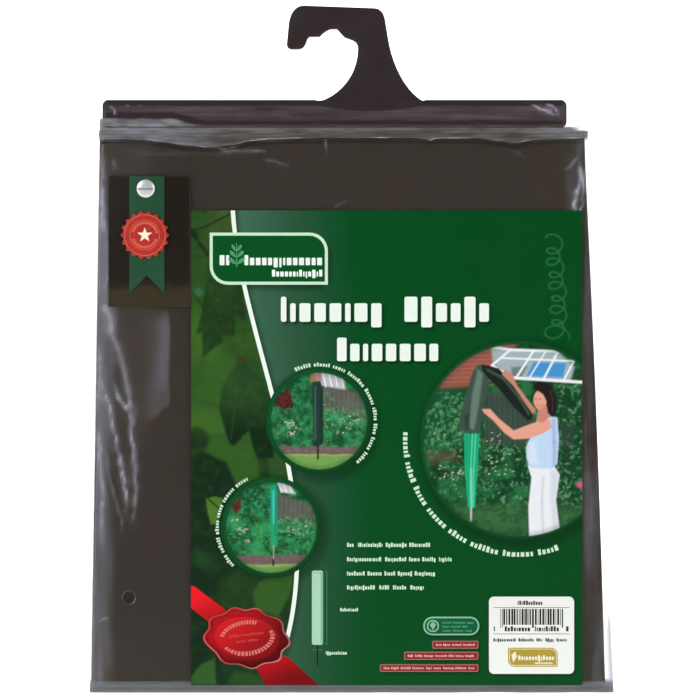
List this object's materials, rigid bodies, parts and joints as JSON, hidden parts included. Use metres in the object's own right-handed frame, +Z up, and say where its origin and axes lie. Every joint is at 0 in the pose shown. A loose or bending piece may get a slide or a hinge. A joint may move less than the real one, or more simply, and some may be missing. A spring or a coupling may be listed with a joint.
{
  "type": "packed rotary clothesline cover",
  "caption": "Hanging retail pack: a folded rotary clothesline cover in a clear film bag, hung from a moulded plastic hook bar, with printed labels on its front.",
  "frame": {"origin": "centre of the flat seat at the top of the hook's notch, which rests on a display peg, on the mid-plane of the hanger", "axes": "+Z up, +X to the viewer's right as seen from the printed front, which faces -Y"},
  "size_m": [0.2601, 0.0122, 0.3406],
  "materials": {
    "hanger_plastic": "dark brown-black moulded polypropylene, semi-gloss",
    "bag_film": "clear crinkled polypropylene film, glossy",
    "cover_fabric": "laminated woven polyethylene, dark olive brown, semi-gloss",
    "nickel": "bright nickel plate",
    "label_print": "gloss printed label, green",
    "white_paper": "white printed label, satin",
    "card_print": "dark brown printed card, satin",
    "ribbon_green": "green ribbed ribbon",
    "seal_red": "red moulded seal, glossy"
  },
  "bodies": {
    "hanger": {"hanger": "hanger_plastic", "bag_hem_sleeve": "bag_film"},
    "bag": {"bag_hem_weld": "bag_film", "bag_front_film": "bag_film", "bag_back_film": "bag_film", "bag_left_weld": "bag_film", "bag_right_weld": "bag_film", "bag_bottom_fold": "bag_film", "front_label": "label_print", "barcode_label": "white_paper", "guarantee_card": "card_print", "guarantee_ribbon": "ribbon_green", "guarantee_seal": "seal_red", "guarantee_stud": "nickel"},
    "cover": {"cover_sleeve": "cover_fabric", "cover_hem": "cover_fabric", "cover_eyelet_left": "nickel", "cover_eyelet_right": "nickel"}
  },
  "joints": [
    {"name": "bag_swing", "type": "hinge", "parent": "hanger", "child": "bag", "pos_m": [0, 0, -0.0506], "axis": [1, 0, 0], "range_deg": [-90, 90]},
    {"name": "cover_shift", "type": "slide", "parent": "bag", "child": "cover", "axis": [0, 0, 1], "range_m": [0, 0.002]}
  ]
}
